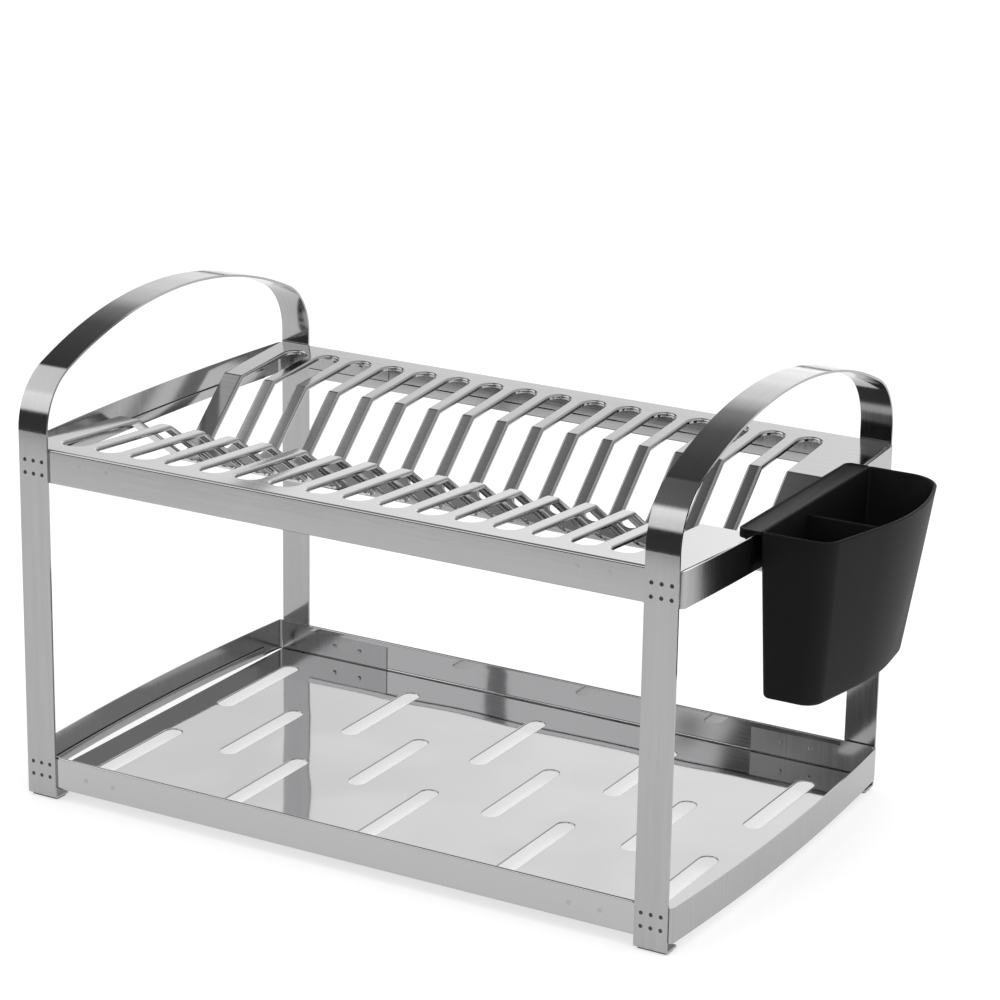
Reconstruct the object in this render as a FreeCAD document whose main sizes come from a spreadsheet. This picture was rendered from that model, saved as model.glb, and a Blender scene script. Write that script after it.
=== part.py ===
import FreeCAD, Part
import math
import os
import re
import Sketcher
from FreeCAD import Rotation, Vector

# Two-tier dish rack of bent stainless sheet, with a lift-off cutlery bin.
# X runs along the rack, Y from front to back and Z up.  The origin is on the ground, at the
# middle of the rectangle that the four legs stand on.

DIMENSIONS = {
    # end frames: each is one strap bent into two legs and an arch
    "frame_width": 450.0,
    "frame_depth": 293.2,
    "strap_width": 21.2,
    "strap_gauge": 1.5,
    "shoulder_height": 266.5,
    "shoulder_radius": 41.5,
    "crown_peak": 329.7,
    "crown_radius": 295.0,
    "foot_length": 13.0,
    "foot_bend": 2.5,
    # foot pads
    "pad_height": 1.2,
    "pad_inset": 0.7,
    "pad_corner": 1.8,
    # sheet shared by the plate deck, the drip tray and the side strips
    "gauge": 0.8,
    "flange_height": 21.6,
    "flange_bend": 1.5,
    "hem_bend": 1.05,
    "hem_fold": 2.2,
    "plate_margin": 1.0,
    # plate deck: two ledges with a valley between them
    "deck_front_edge": 230.0,
    "deck_back_edge": 231.0,
    "deck_hem": 6.5,
    "front_ledge_end": 43.1,
    "front_ledge_low": 223.3,
    "valley_place": 22.7,
    "valley_low": 177.0,
    "back_ledge_end": 73.6,
    "back_ledge_low": 224.7,
    "crease_radius": 3.0,
    # plate slots, in rows across the front and the back of the valley
    "slot_count": 16.0,
    "slot_pitch": 25.32,
    "slot_width": 16.4,
    "slot_first": 201.4,
    "front_slot_start": 128.0,
    "front_slot_stop": 13.5,
    "back_slot_start": 32.0,
    "back_slot_stop": 132.1,
    # drip tray
    "tray_floor": 8.2,
    "tray_lip": 3.6,
    "drain_count": 5.0,
    "drain_pitch": 97.56,
    "drain_width": 12.0,
    "drain_first": 197.1,
    "drain_length": 88.0,
    "drain_gap": 51.0,
    "drain_middle": 2.5,
    # side strips: bowed bands whose ends lap inside the flanges
    "strip_corner": 227.0,
    "strip_corner_bend": 3.0,
    "strip_bow_peak": 237.6,
    "strip_bow_radius": 1770.0,
    "strip_end": 139.0,
    "full_lap": 202.0,
    "lap_gap": 0.3,
    # spot welds
    "weld_radius": 1.2,
    "weld_dimple": 0.25,
    "weld_spacing": 6.35,
    "weld_row_gap": 8.3,
    "lap_weld_radius": 1.6,
    "lap_weld_bump": 0.3,
    "lap_weld_inner": 160.8,
    "lap_weld_outer": 181.1,
    "upper_weld_row": 213.3,
    "lower_weld_row": 15.4,
    "upper_lap_weld": 221.8,
    "lower_lap_weld": 18.0,
    # cutlery bin
    "bin_gauge": 2.0,
    "bin_floor": 132.0,
    "bin_rim": 232.2,
    "rim_wall": 233.5,
    "rim_front": 63.5,
    "rim_front_reach": 277.5,
    "rim_bow_reach": 300.0,
    "rim_bow_place": 25.4,
    "rim_back_reach": 280.0,
    "rim_back": 89.0,
    "rim_front_round": 12.0,
    "rim_back_round": 24.0,
    "base_wall": 238.5,
    "base_front": 62.5,
    "base_front_reach": 271.5,
    "base_bow_reach": 282.5,
    "base_bow_place": 5.0,
    "base_back_reach": 274.0,
    "base_back": 69.0,
    "base_front_round": 12.0,
    "base_back_round": 26.0,
    "bow_round": 150.0,
    "bin_wall_round": 4.0,
    "divider_gauge": 1.6,
    "divider_place": 1.6,
    "divider_drop": 6.0,
    # rail of the bin, which hangs over the right-hand upper side strip
    "rail_edge": 219.5,
    "rail_gap": 0.2,
    "rail_nose": 5.0,
    "hook_lip": 2.2,
    "hook_low": 226.6,
}

START, END, CENTRE = 1, 2, 3
ORIGIN_POINT = (-1, 1)


def formula(text):
    """Points every dimension named in a formula at the spreadsheet."""
    return re.sub(r"[a-z][a-z_]*", lambda word: "dimensions." + word.group(), text)


def number(text):
    """The present value of a formula of dimensions."""
    return float(sheet.evalExpression(formula(text)))


def start_document():
    """Makes the document and its sheet of driving dimensions."""
    document = FreeCAD.newDocument("dish_rack")
    table = document.addObject("Spreadsheet::Sheet", "dimensions")
    for row, (name, size) in enumerate(DIMENSIONS.items(), start=1):
        table.set(f"A{row}", name)
        table.set(f"B{row}", str(size))
        table.setAlias(f"B{row}", name)
    document.recompute()
    return document, table


# --- sketches -------------------------------------------------------------------------------


def add_body(label):
    body = doc.addObject("PartDesign::Body", label)
    body.Label = label
    return body


def add_sketch(body, name, plane, offset="0"):
    """A sketch on one of the body's origin planes, moved along the plane's normal."""
    sketch = body.newObject("Sketcher::SketchObject", name)
    support = next(item for item in body.Origin.OriginFeatures if item.Role == plane)
    sketch.AttachmentSupport = [(support, "")]
    sketch.MapMode = "FlatFace"
    sketch.setExpression("AttachmentOffset.Base.z", formula(offset))
    return sketch


def drive(sketch, constraint, text):
    """Adds a dimension to a sketch and binds it to a formula."""
    index = sketch.addConstraint(constraint)
    sketch.setExpression(f"Constraints[{index}]", formula(text))


def pin(sketch, item, place, across, up):
    """Fixes a point of a sketch at two formulas from the sketch's origin."""
    for kind, text in (("DistanceX", across), ("DistanceY", up)):
        drive(sketch, Sketcher.Constraint(kind, *ORIGIN_POINT, item, place, number(text)), text)


def round_corner(before, corner, after, radius):
    """The arc that rounds a corner, its two ends in path order and which end comes first."""
    back = (before - corner).normalize()
    ahead = (after - corner).normalize()
    half_angle = back.getAngle(ahead) / 2
    centre = corner + (back + ahead).normalize() * (radius / math.sin(half_angle))
    reach = radius / math.tan(half_angle)
    first = corner + back * reach
    last = corner + ahead * reach
    turns_left = (corner - before).cross(after - corner).z > 0
    begin, finish = (first, last) if turns_left else (last, first)
    from_angle = math.atan2(begin.y - centre.y, begin.x - centre.x)
    to_angle = math.atan2(finish.y - centre.y, finish.x - centre.x)
    if to_angle < from_angle:
        to_angle += 2 * math.pi
    arc = Part.ArcOfCircle(Part.Circle(centre, Vector(0, 0, 1), radius), from_angle, to_angle)
    return arc, first, last, START if turns_left else END


def draw_rounded(sketch, corners, closed=False):
    """Draws straight runs joined by tangent arcs; a corner is (across, up, radius)."""
    points = [Vector(number(across), number(up), 0) for across, up, _ in corners]
    total = len(points)
    turning = range(total) if closed else range(1, total - 1)
    arcs = {}
    for spot in turning:
        ahead = points[(spot + 1) % total]
        arcs[spot] = round_corner(points[spot - 1], points[spot], ahead, number(corners[spot][2]))
    lines = {}
    for spot in range(total if closed else total - 1):
        after = (spot + 1) % total
        begin = arcs[spot][2] if spot in arcs else points[spot]
        finish = arcs[after][1] if after in arcs else points[after]
        lines[spot] = sketch.addGeometry(Part.LineSegment(begin, finish))
    for spot in turning:
        across, up, radius = corners[spot]
        arc, _, _, near = arcs[spot]
        item = sketch.addGeometry(arc)
        before = lines[(spot - 1) % total]
        after = lines[spot]
        sketch.addConstraint(Sketcher.Constraint("Tangent", before, END, item, near))
        sketch.addConstraint(Sketcher.Constraint("Tangent", item, START + END - near, after, START))
        drive(sketch, Sketcher.Constraint("Radius", item, number(radius)), radius)
        corner = sketch.addGeometry(Part.Point(points[spot]), True)
        pin(sketch, corner, START, across, up)
        sketch.addConstraint(Sketcher.Constraint("PointOnObject", corner, START, before))
        sketch.addConstraint(Sketcher.Constraint("PointOnObject", corner, START, after))
    if not closed:
        pin(sketch, lines[0], START, *corners[0][:2])
        pin(sketch, lines[total - 2], END, *corners[-1][:2])


def draw_rectangle(sketch, left, right, low, high):
    """Draws an upright rectangle between four formulas."""
    spots = [(left, low), (right, low), (right, high), (left, high)]
    points = [Vector(number(across), number(up), 0) for across, up in spots]
    sides = [sketch.addGeometry(Part.LineSegment(points[spot - 1], points[spot])) for spot in range(4)]
    for spot, kind in enumerate(("Vertical", "Horizontal", "Vertical", "Horizontal")):
        sketch.addConstraint(Sketcher.Constraint(kind, sides[spot]))
        after = sides[(spot + 1) % 4]
        sketch.addConstraint(Sketcher.Constraint("Coincident", sides[spot], END, after, START))
    pin(sketch, sides[1], START, left, low)
    pin(sketch, sides[2], END, right, high)


def draw_slot(sketch, middle, low, high, width):
    """Draws a round-ended slot that runs up the sketch, from low to high."""
    radius = f"({width}) / 2"
    half = number(radius)
    foot = Vector(number(middle), number(low) + half, 0)
    head = Vector(number(middle), number(high) - half, 0)
    side = Vector(half, 0, 0)
    right = sketch.addGeometry(Part.LineSegment(foot + side, head + side))
    top = sketch.addGeometry(Part.ArcOfCircle(Part.Circle(head, Vector(0, 0, 1), half), 0, math.pi))
    left = sketch.addGeometry(Part.LineSegment(head - side, foot - side))
    bottom = sketch.addGeometry(
        Part.ArcOfCircle(Part.Circle(foot, Vector(0, 0, 1), half), math.pi, 2 * math.pi)
    )
    loop = (right, top, left, bottom)
    for spot, item in enumerate(loop):
        after = loop[(spot + 1) % 4]
        sketch.addConstraint(Sketcher.Constraint("Tangent", item, END, after, START))
    sketch.addConstraint(Sketcher.Constraint("Equal", top, bottom))
    drive(sketch, Sketcher.Constraint("Radius", top, half), radius)
    pin(sketch, top, CENTRE, middle, f"{high} - {radius}")
    pin(sketch, bottom, CENTRE, middle, f"{low} + {radius}")


# --- features -------------------------------------------------------------------------------


def sweep(body, section, path):
    """Sweeps a section along a flat path."""
    doc.recompute()
    pipe = body.newObject("PartDesign::AdditivePipe", f"{body.Name}_sweep")
    pipe.Profile = section
    pipe.Spine = (path, [f"Edge{index + 1}" for index in range(len(path.Shape.Edges))])
    pipe.Mode = "Standard"
    doc.recompute()


def cut_away(body, sketch, both_ways=False, reverse=False):
    """Pockets a sketch right through the body and makes sure that it took material away."""
    before = body.Shape.Volume
    pocket = body.newObject("PartDesign::Pocket", f"{sketch.Name}_pocket")
    pocket.Profile = sketch
    pocket.Type = "ThroughAll"
    pocket.Midplane = both_ways
    pocket.Reversed = reverse
    doc.recompute()
    if body.Shape.Volume >= before:
        raise RuntimeError(f"{sketch.Name} cuts nothing")
    return pocket


def repeat_along(body, feature, sketch, pitch, count):
    """Repeats a feature along its sketch's horizontal axis."""
    pattern = body.newObject("PartDesign::LinearPattern", f"{feature.Name}_row")
    pattern.Originals = [feature]
    pattern.Direction = (sketch, ["H_Axis"])
    pattern.Mode = "Spacing"
    pattern.setExpression("Offset", formula(pitch))
    pattern.setExpression("Occurrences", formula(count))
    body.Tip = pattern
    doc.recompute()


def mirror_sideways(body, features):
    """Repeats features on the other side of the body's YZ plane."""
    pattern = body.newObject("PartDesign::Mirrored", f"{body.Name}_mirror")
    pattern.Originals = features
    plane = next(item for item in body.Origin.OriginFeatures if item.Role == "YZ_Plane")
    pattern.MirrorPlane = (plane, [""])
    body.Tip = pattern
    doc.recompute()


def drill(body, groups, label):
    """Cuts the seats of groups of welds out of a body."""
    tool = doc.addObject("Part::Compound", f"{label}_weld_seats")
    tool.Links = groups
    cut = doc.addObject("Part::Cut", label)
    cut.Label = label
    cut.Base = body
    cut.Tool = tool
    return cut


# --- sub-parts ------------------------------------------------------------------------------

OUTER_FRONT = "-frame_depth / 2"
OUTER_BACK = "frame_depth / 2"
FRONT_FACE = "-frame_depth / 2 + strap_gauge"
BACK_FACE = "frame_depth / 2 - strap_gauge"
PLATE_EDGE = "frame_width / 2 - plate_margin"
SIDES = {"left": -1, "right": 1}
ENDS = {"front": -1, "back": 1}
TIERS = ("upper", "lower")


def side_span(side, near, far):
    """Two distances from the middle, as left and right limits on the given side."""
    if side == "left":
        return f"-({far})", f"-({near})"
    return near, far


def make_end_strap(side):
    """The strap of one end frame, from foot to foot over the arch."""
    body = add_body(f"{side}_end_strap")
    path = add_sketch(body, f"{side}_strap_path", "YZ_Plane")
    foot_front = f"{OUTER_FRONT} + foot_length"
    foot_back = f"{OUTER_BACK} - foot_length"
    draw_rounded(path, [
        (foot_front, "pad_height", ""),
        (OUTER_FRONT, "pad_height", "foot_bend"),
        (OUTER_FRONT, "shoulder_height", "shoulder_radius"),
        ("0", "crown_peak", "crown_radius"),
        (OUTER_BACK, "shoulder_height", "shoulder_radius"),
        (OUTER_BACK, "pad_height", "foot_bend"),
        (foot_back, "pad_height", ""),
    ])
    section = add_sketch(body, f"{side}_strap_section", "XZ_Plane", f"-({foot_front})")
    left, right = side_span(side, "frame_width / 2 - strap_width", "frame_width / 2")
    draw_rectangle(section, left, right, "pad_height", "pad_height + strap_gauge")
    sweep(body, section, path)
    return body


def make_foot_pad(side, end):
    """A thin pad under one turned-in foot."""
    label = f"{end}_{side}_foot_pad"
    body = add_body(label)
    outline = add_sketch(body, f"{label}_outline", "XY_Plane")
    left, right = side_span(
        side, "frame_width / 2 - strap_width + pad_inset", "frame_width / 2 - pad_inset"
    )
    near = "frame_depth / 2 - foot_length + pad_inset"
    far = "frame_depth / 2 - foot_bend"
    low, high = (f"-({far})", f"-({near})") if end == "front" else (near, far)
    spots = [(left, low), (right, low), (right, high), (left, high)]
    draw_rounded(outline, [(across, up, "pad_corner") for across, up in spots], closed=True)
    pad = body.newObject("PartDesign::Pad", f"{label}_pad")
    pad.Profile = outline
    pad.setExpression("Length", formula("pad_height"))
    return body


def trim_hems(body, label, low, high):
    """Takes the folded hems away behind the legs, so that the welded laps lie flat."""
    sketch = add_sketch(body, f"{label}_hem_trim", "YZ_Plane", "full_lap")
    inner = "frame_depth / 2 - strap_gauge - gauge"
    reach = "frame_depth / 2 - strap_gauge - hem_fold - lap_gap"
    draw_rectangle(sketch, f"-({inner})", f"-({reach})", low, high)
    draw_rectangle(sketch, reach, inner, low, high)
    mirror_sideways(body, [cut_away(body, sketch, reverse=True)])


def make_plate_deck():
    """The upper tier: one sheet with a flange at each edge and a slotted valley."""
    body = add_body("plate_deck_sheet")
    path = add_sketch(body, "deck_path", "YZ_Plane")
    front_low = "deck_front_edge - flange_height"
    hem_top = "deck_front_edge - flange_height + deck_hem"
    draw_rounded(path, [
        (f"{FRONT_FACE} + hem_fold", hem_top, ""),
        (f"{FRONT_FACE} + hem_fold", front_low, "hem_bend"),
        (FRONT_FACE, front_low, "hem_bend"),
        (FRONT_FACE, "deck_front_edge", "flange_bend"),
        ("-front_ledge_end", "front_ledge_low", "crease_radius"),
        ("valley_place", "valley_low", "crease_radius"),
        ("back_ledge_end", "back_ledge_low", "crease_radius"),
        (BACK_FACE, "deck_back_edge", "flange_bend"),
        (BACK_FACE, front_low, "hem_bend"),
        (f"{BACK_FACE} - hem_fold", front_low, "hem_bend"),
        (f"{BACK_FACE} - hem_fold", hem_top, ""),
    ])
    section = add_sketch(body, "deck_section", "XY_Plane", hem_top)
    near = f"{FRONT_FACE} + hem_fold"
    draw_rectangle(section, f"-({PLATE_EDGE})", PLATE_EDGE, f"{near} - gauge", near)
    sweep(body, section, path)
    slots = add_sketch(body, "plate_slots", "XY_Plane", "deck_back_edge")
    for low, high in (
        ("-front_slot_start", "front_slot_stop"),
        ("back_slot_start", "back_slot_stop"),
    ):
        draw_slot(slots, "-slot_first", low, high, "slot_width")
    pocket = cut_away(body, slots)
    repeat_along(body, pocket, slots, "slot_pitch", "slot_count")
    trim_hems(body, "deck", f"{front_low} - lap_gap", f"{hem_top} + lap_gap")
    return body


def make_drip_tray():
    """The lower tier: a floor with drain slots and two upright walls."""
    body = add_body("drip_tray_sheet")
    path = add_sketch(body, "tray_path", "YZ_Plane")
    under = "tray_floor - gauge"
    top = "tray_floor - gauge + flange_height"
    lip = "tray_floor - gauge + flange_height - tray_lip"
    draw_rounded(path, [
        (f"{FRONT_FACE} + hem_fold", lip, ""),
        (f"{FRONT_FACE} + hem_fold", top, "hem_bend"),
        (FRONT_FACE, top, "hem_bend"),
        (FRONT_FACE, under, "flange_bend"),
        (BACK_FACE, under, "flange_bend"),
        (BACK_FACE, top, "hem_bend"),
        (f"{BACK_FACE} - hem_fold", top, "hem_bend"),
        (f"{BACK_FACE} - hem_fold", lip, ""),
    ])
    section = add_sketch(body, "tray_section", "XY_Plane", lip)
    near = f"{FRONT_FACE} + hem_fold"
    draw_rectangle(section, f"-({PLATE_EDGE})", PLATE_EDGE, f"{near} - gauge", near)
    sweep(body, section, path)
    outer_drains = add_sketch(body, "outer_drains", "XY_Plane", "tray_floor")
    near, far = "drain_gap / 2", "(drain_gap / 2 + drain_length)"
    for low, high in (
        (f"drain_middle - {far}", f"drain_middle - {near}"),
        (f"drain_middle + {near}", f"drain_middle + {far}"),
    ):
        draw_slot(outer_drains, "-drain_first", low, high, "drain_width")
    pocket = cut_away(body, outer_drains)
    repeat_along(body, pocket, outer_drains, "drain_pitch", "drain_count")
    middle_drains = add_sketch(body, "middle_drains", "XY_Plane", "tray_floor")
    draw_slot(
        middle_drains, "drain_pitch / 2 - drain_first",
        "drain_middle - drain_length / 2", "drain_middle + drain_length / 2", "drain_width",
    )
    pocket = cut_away(body, middle_drains)
    repeat_along(body, pocket, middle_drains, "drain_pitch", "drain_count - 1")
    trim_hems(body, "tray", f"{lip} - lap_gap", f"{top} + lap_gap")
    return body


def make_side_strip(tier, side):
    """A bowed band that closes one end of a tier and laps inside both of its flanges."""
    name = f"{tier}_{side}_strip"
    body = add_body(f"{name}_band")
    sign = "-" if side == "left" else ""
    path = add_sketch(body, f"{name}_path", "XY_Plane")
    draw_rounded(path, [
        (f"{sign}strip_end", f"{FRONT_FACE} + gauge", ""),
        (f"{sign}strip_corner", f"{FRONT_FACE} + gauge", "strip_corner_bend"),
        (f"{sign}strip_bow_peak", "0", "strip_bow_radius"),
        (f"{sign}strip_corner", f"{BACK_FACE} - gauge", "strip_corner_bend"),
        (f"{sign}strip_end", f"{BACK_FACE} - gauge", ""),
    ])
    if tier == "upper":
        top = "deck_front_edge"
        lap_low = "deck_front_edge - flange_height + deck_hem + lap_gap"
        lap_top = "deck_front_edge - 2 * gauge"
        short_cuts = ((f"{top} - flange_height - 1", lap_low),)
        long_cuts = ((lap_top, f"{top} + 1"),)
    else:
        top = "tray_floor - gauge + flange_height"
        lap_low = "tray_floor + gauge"
        lap_top = f"{top} - tray_lip - lap_gap"
        short_cuts = ((lap_top, f"{top} + 1"),)
        long_cuts = ((f"{top} - flange_height - 1", lap_low),)
    section = add_sketch(body, f"{name}_section", "YZ_Plane", f"{sign}strip_end")
    outer = f"{FRONT_FACE} + gauge"
    draw_rectangle(section, outer, f"{outer} + gauge", f"{top} - flange_height", top)
    sweep(body, section, path)
    notches = add_sketch(body, f"{name}_notches", "XZ_Plane")
    for cuts, reach in ((short_cuts, "full_lap"), (long_cuts, f"{PLATE_EDGE} + lap_gap")):
        left, right = side_span(side, "strip_end - 1", reach)
        for low, high in cuts:
            draw_rectangle(notches, left, right, low, high)
    cut_away(body, notches, both_ways=True)
    return body


def make_weld(name, across, end, height, radius, near, length):
    """One round weld nugget that lies along Y; near is its end towards the middle of the rack."""
    weld = doc.addObject("Part::Cylinder", name)
    weld.setExpression("Radius", formula(radius))
    weld.setExpression("Height", formula(length))
    weld.Placement.Rotation = Rotation(Vector(1, 0, 0), -90)
    start = near if end == "back" else f"-({near}) - ({length})"
    weld.setExpression("Placement.Base.x", formula(across))
    weld.setExpression("Placement.Base.y", formula(start))
    weld.setExpression("Placement.Base.z", formula(height))
    return weld


def make_weld_group(tier, side, end):
    """The welds of one corner: six that hold the leg and two that hold the strip's lap."""
    label = f"{tier}_{end}_{side}_welds"
    sign = "-" if side == "left" else ""
    lap_face = "frame_depth / 2 - strap_gauge - 2 * gauge"
    welds = []
    for column in (-1, 0, 1):
        across = f"{sign}(frame_width / 2 - strap_width / 2 + {column} * weld_spacing)"
        for row in (0, 1):
            height = f"{tier}_weld_row + {row} * weld_row_gap"
            length = "strap_gauge + 2 * gauge - weld_dimple"
            name = f"{label}_leg_{column + 2}_{row + 1}"
            welds.append(make_weld(name, across, end, height, "weld_radius", lap_face, length))
    for place in ("inner", "outer"):
        across = f"{sign}lap_weld_{place}"
        near = f"{lap_face} - lap_weld_bump"
        length = "2 * gauge + lap_weld_bump"
        name = f"{label}_lap_{place}"
        height = f"{tier}_lap_weld"
        welds.append(make_weld(name, across, end, height, "lap_weld_radius", near, length))
    group = doc.addObject("Part::Compound", label)
    group.Label = label
    group.Links = welds
    return group


def bin_outline(level, inset="0"):
    """Corners of the cutlery bin's plan at its rim or its base, pulled in by an inset."""
    return [
        (f"{level}_wall + {inset}", f"-{level}_front + {inset}", f"bin_wall_round - ({inset}) / 2"),
        (f"{level}_front_reach - {inset}", f"-{level}_front + {inset}",
         f"{level}_front_round - {inset}"),
        (f"{level}_bow_reach - {inset}", f"{level}_bow_place", "bow_round"),
        (f"{level}_back_reach - {inset}", f"{level}_back - {inset}", f"{level}_back_round - {inset}"),
        (f"{level}_wall + {inset}", f"{level}_back - {inset}", f"bin_wall_round - ({inset}) / 2"),
    ]


def loft_bin(body, kind, inset, floor):
    """Lofts the bin's outside or its hollow from the base to the rim."""
    sketches = []
    for level, height in (("base", floor), ("rim", "bin_rim")):
        sketch = add_sketch(body, f"bin_{level}_{kind}", "XY_Plane", height)
        draw_rounded(sketch, bin_outline(level, inset), closed=True)
        sketches.append(sketch)
    doc.recompute()
    loft = body.newObject(f"PartDesign::{kind}Loft", f"bin_{kind}_loft")
    loft.Profile = sketches[0]
    loft.Sections = [sketches[1]]
    loft.Ruled = True
    doc.recompute()
    return loft


def add_block(body, name, plan, low, high):
    """Pads a plan sketch from one height to another."""
    plan.setExpression("AttachmentOffset.Base.z", formula(low))
    pad = body.newObject("PartDesign::Pad", name)
    pad.Profile = plan
    pad.setExpression("Length", formula(f"({high}) - ({low})"))
    doc.recompute()


def make_cutlery_bin():
    """The moulded bin: a tapered tub with a divider and a rail that hooks over the strip."""
    body = add_body("cutlery_bin")
    loft_bin(body, "Additive", "0", "bin_floor")
    loft_bin(body, "Subtractive", "bin_gauge", "bin_floor + bin_gauge")
    wall_left = "rim_wall + bin_gauge / 2"
    divider = add_sketch(body, "divider_plan", "XY_Plane")
    low, high = "-divider_place - divider_gauge / 2", "-divider_place + divider_gauge / 2"
    draw_rectangle(divider, "base_wall + bin_gauge / 2", "base_bow_reach - 2 * bin_gauge", low, high)
    add_block(body, "divider", divider, "bin_floor + bin_gauge / 2", "bin_rim - divider_drop")
    rail = add_sketch(body, "rail_plan", "XY_Plane")
    draw_rounded(rail, [
        ("rail_edge", "-rim_front", "rail_nose"),
        (wall_left, "-rim_front", "bin_gauge / 4"),
        (wall_left, "rim_back", "bin_gauge / 4"),
        ("rail_edge", "rim_back", "rail_nose"),
    ], closed=True)
    rail_low = "deck_front_edge + rail_gap"
    add_block(body, "rail", rail, rail_low, "bin_rim")
    lip = add_sketch(body, "lip_plan", "XY_Plane")
    draw_rectangle(
        lip, "rail_edge", "rail_edge + hook_lip", "-rim_front + rail_nose", "rim_back - rail_nose"
    )
    add_block(body, "lip", lip, "hook_low", f"{rail_low} + bin_gauge / 2")
    return body


# --- the model ------------------------------------------------------------------------------

doc, sheet = start_document()


def build_parts():
    """Builds every sub-part and returns them in a list."""
    welds = {
        (tier, side, end): make_weld_group(tier, side, end)
        for tier in TIERS for side in SIDES for end in ENDS
    }

    def welds_of(tier=None, side=None):
        return [
            group for (at_tier, at_side, _), group in welds.items()
            if tier in (None, at_tier) and side in (None, at_side)
        ]

    parts = list(welds.values())
    for side in SIDES:
        parts.append(drill(make_end_strap(side), welds_of(side=side), f"{side}_end_frame"))
        for end in ENDS:
            parts.append(make_foot_pad(side, end))
        for tier in TIERS:
            band = make_side_strip(tier, side)
            parts.append(drill(band, welds_of(tier, side), f"{tier}_{side}_strip"))
    parts.append(drill(make_plate_deck(), welds_of("upper"), "plate_deck"))
    parts.append(drill(make_drip_tray(), welds_of("lower"), "drip_tray"))
    parts.append(make_cutlery_bin())
    return parts


def check_document():
    """Stops if any object of the document failed to compute."""
    for item in doc.Objects:
        if {"Invalid", "Error"} & set(item.State):
            raise RuntimeError(f"{item.Label} did not compute: {item.State}")


def export_parts(parts):
    """Checks each sub-part's shape and writes it under its own name."""
    os.makedirs("parts", exist_ok=True)
    for part in parts:
        if part.Shape.isNull() or not part.Shape.isValid():
            raise RuntimeError(f"{part.Label} has no valid shape")
        part.Shape.exportStep(f"parts/{part.Label}.step")
        print(part.Label, len(part.Shape.Solids), "solids", round(part.Shape.Volume), "mm3")


rack_parts = build_parts()
doc.recompute()
check_document()
export_parts(rack_parts)
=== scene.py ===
import bisect
import math

import bmesh
import bpy
from mathutils import Matrix, Vector


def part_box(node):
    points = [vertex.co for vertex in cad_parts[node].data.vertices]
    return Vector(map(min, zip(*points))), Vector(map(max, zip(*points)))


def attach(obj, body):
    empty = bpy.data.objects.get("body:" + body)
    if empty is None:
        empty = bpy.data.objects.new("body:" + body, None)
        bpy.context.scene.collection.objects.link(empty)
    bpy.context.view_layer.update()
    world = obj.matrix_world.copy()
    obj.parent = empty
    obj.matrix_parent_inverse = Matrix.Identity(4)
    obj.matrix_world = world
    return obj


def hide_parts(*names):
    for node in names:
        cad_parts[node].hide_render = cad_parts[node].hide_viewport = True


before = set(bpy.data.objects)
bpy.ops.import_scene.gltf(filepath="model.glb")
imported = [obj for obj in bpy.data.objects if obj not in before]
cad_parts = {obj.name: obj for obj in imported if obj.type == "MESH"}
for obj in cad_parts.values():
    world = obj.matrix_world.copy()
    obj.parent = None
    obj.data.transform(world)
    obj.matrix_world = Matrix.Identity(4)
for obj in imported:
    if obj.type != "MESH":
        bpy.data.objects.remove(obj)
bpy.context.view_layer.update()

# Two-tier stainless dish rack with a lift-off cutlery bin.  The CAD nodes say where every piece
# goes; each one is replaced here by a mesh with its bends, hems, slot rims and weld marks.

MM = 0.001

# sheet metal
GAUGE = 0.8 * MM
STRAP_GAUGE = 1.5 * MM
FLANGE_BEND = 1.5 * MM
FLANGE_HEIGHT = 21.6 * MM
HEM_BEND = 1.05 * MM
HEM_FOLD = 2.2 * MM
EDGE_ROUND = 0.16 * MM
STRAP_EDGE_ROUND = 0.3 * MM

# how finely bends and slots are meshed
ARC_STEP = math.radians(7)
LONG_ARC = 40 * MM
LONG_ARC_STEPS = 72
COLUMN_CLEAR = 0.5 * MM
RIM_ANGLES = (0, 18, 36, 54, 72, 90)

# arch of the end frames
SHOULDER_HEIGHT = 266.5 * MM
SHOULDER_RADIUS = 41.5 * MM
CROWN_PEAK = 329.45 * MM
CROWN_RADIUS = 295.0 * MM
FOOT_LENGTH = 13.0 * MM
FOOT_BEND = 2.5 * MM

# plate deck
DECK_FRONT_EDGE = 230.0 * MM
DECK_BACK_EDGE = 231.0 * MM
DECK_HEM = 6.5 * MM
CREASE_RADIUS = 3.0 * MM
FRONT_CREASE = (-43.1 * MM, 223.3 * MM)
VALLEY = (22.7 * MM, 177.0 * MM)
BACK_CREASE = (73.6 * MM, 224.7 * MM)
PLATE_SLOTS = 16
SLOT_PITCH = 25.32 * MM
SLOT_WIDTH = 16.4 * MM
FIRST_SLOT = -201.4 * MM
FRONT_SLOT = (-128.0 * MM, 13.5 * MM)
BACK_SLOT = (32.0 * MM, 132.1 * MM)
SLOT_RIM = 2.6 * MM
RIM_BEND = 1.5 * MM

# drip tray
TRAY_LIP = 3.6 * MM
DRAIN_PITCH = 48.78 * MM
DRAIN_COLUMNS = 9
DRAIN_WIDTH = 12.0 * MM
FIRST_DRAIN = -197.1 * MM
DRAIN_LENGTH = 88.0 * MM
DRAIN_GAP = 51.0 * MM
DRAIN_MIDDLE = 2.5 * MM
DRAIN_RIM = 0.75 * MM
DRAIN_RIM_BEND = 0.75 * MM

# side strips
STRIP_CORNER = 227.0 * MM
STRIP_CORNER_BEND = 3.0 * MM
STRIP_BOW_PEAK = 237.28 * MM
STRIP_BOW_RADIUS = 1770.0 * MM
STRIP_HEM_END = 134.0 * MM
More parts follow.
